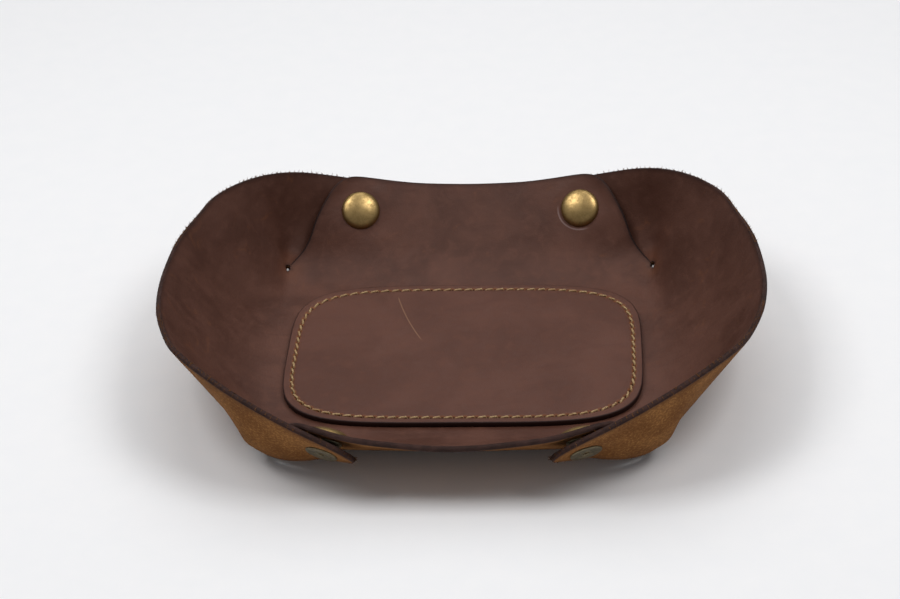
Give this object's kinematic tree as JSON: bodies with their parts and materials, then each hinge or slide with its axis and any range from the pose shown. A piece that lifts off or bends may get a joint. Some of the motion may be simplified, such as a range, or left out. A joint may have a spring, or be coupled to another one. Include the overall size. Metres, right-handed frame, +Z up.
{
  "type": "valet tray",
  "caption": "Shallow leather tray folded from one sheet, with snapped round corners, raised curved walls and a stitched pad in its base.",
  "frame": {"origin": "middle of the underside, on the surface that the tray stands on", "axes": "+X along the tray's length to the right end, +Y to the back wall, +Z up; the front wall is -Y"},
  "size_m": [0.2226, 0.1766, 0.0419],
  "materials": {
    "sheet_leather": "waxed pull-up grain inside, suede outside",
    "pad_leather": "waxed pull-up grain",
    "thread": "waxed linen thread",
    "cap_brass": "antique, dark",
    "snap_metal": "dull nickel"
  },
  "bodies": {
    "tray_base": {"base_panel": "sheet_leather", "base_pad": "pad_leather", "stitching": "thread", "left_end_wall": "sheet_leather", "right_end_wall": "sheet_leather"},
    "front_side": {"front_wall": "sheet_leather", "front_left_snap_cap": "cap_brass", "front_left_snap_socket": "snap_metal", "front_right_snap_cap": "cap_brass", "front_right_snap_socket": "snap_metal"},
    "back_side": {"back_wall": "sheet_leather", "back_left_snap_cap": "cap_brass", "back_left_snap_socket": "snap_metal", "back_right_snap_cap": "cap_brass", "back_right_snap_socket": "snap_metal"},
    "front_left_corner": {"front_left_flap": "sheet_leather", "front_left_snap_stud": "snap_metal", "front_left_snap_post": "snap_metal"},
    "front_right_corner": {"front_right_flap": "sheet_leather", "front_right_snap_stud": "snap_metal", "front_right_snap_post": "snap_metal"},
    "back_left_corner": {"back_left_flap": "sheet_leather", "back_left_snap_stud": "snap_metal", "back_left_snap_post": "snap_metal"},
    "back_right_corner": {"back_right_flap": "sheet_leather", "back_right_snap_stud": "snap_metal", "back_right_snap_post": "snap_metal"}
  },
  "joints": [
    {"name": "front_wall_fold", "type": "hinge", "parent": "tray_base", "child": "front_side", "pos_m": [0, -0.05535, 0.00191], "axis": [1, 0, 0], "range_deg": [0, 20]},
    {"name": "back_wall_fold", "type": "hinge", "parent": "tray_base", "child": "back_side", "pos_m": [0, 0.05535, 0.00191], "axis": [-1, 0, 0], "range_deg": [0, 20]},
    {"name": "front_left_flap_bend", "type": "hinge", "parent": "tray_base", "child": "front_left_corner", "pos_m": [-0.0731, -0.05567, 0.00531], "axis": [0.1696, 0.4296, -0.8869], "range_deg": [0, 32]},
    {"name": "front_right_flap_bend", "type": "hinge", "parent": "tray_base", "child": "front_right_corner", "pos_m": [0.0731, -0.05567, 0.00531], "axis": [0.1696, -0.4296, 0.8869], "range_deg": [0, 32]},
    {"name": "back_left_flap_bend", "type": "hinge", "parent": "tray_base", "child": "back_left_corner", "pos_m": [-0.0731, 0.05567, 0.00531], "axis": [-0.1696, 0.4296, 0.8869], "range_deg": [0, 32]},
    {"name": "back_right_flap_bend", "type": "hinge", "parent": "tray_base", "child": "back_right_corner", "pos_m": [0.0731, 0.05567, 0.00531], "axis": [-0.1696, -0.4296, -0.8869], "range_deg": [0, 32]}
  ],
  "couplings": [
    {"joint": "front_left_flap_bend", "follows": "front_wall_fold", "ratio": 1.6},
    {"joint": "front_right_flap_bend", "follows": "front_wall_fold", "ratio": 1.6},
    {"joint": "back_left_flap_bend", "follows": "back_wall_fold", "ratio": 1.6},
    {"joint": "back_right_flap_bend", "follows": "back_wall_fold", "ratio": 1.6}
  ]
}
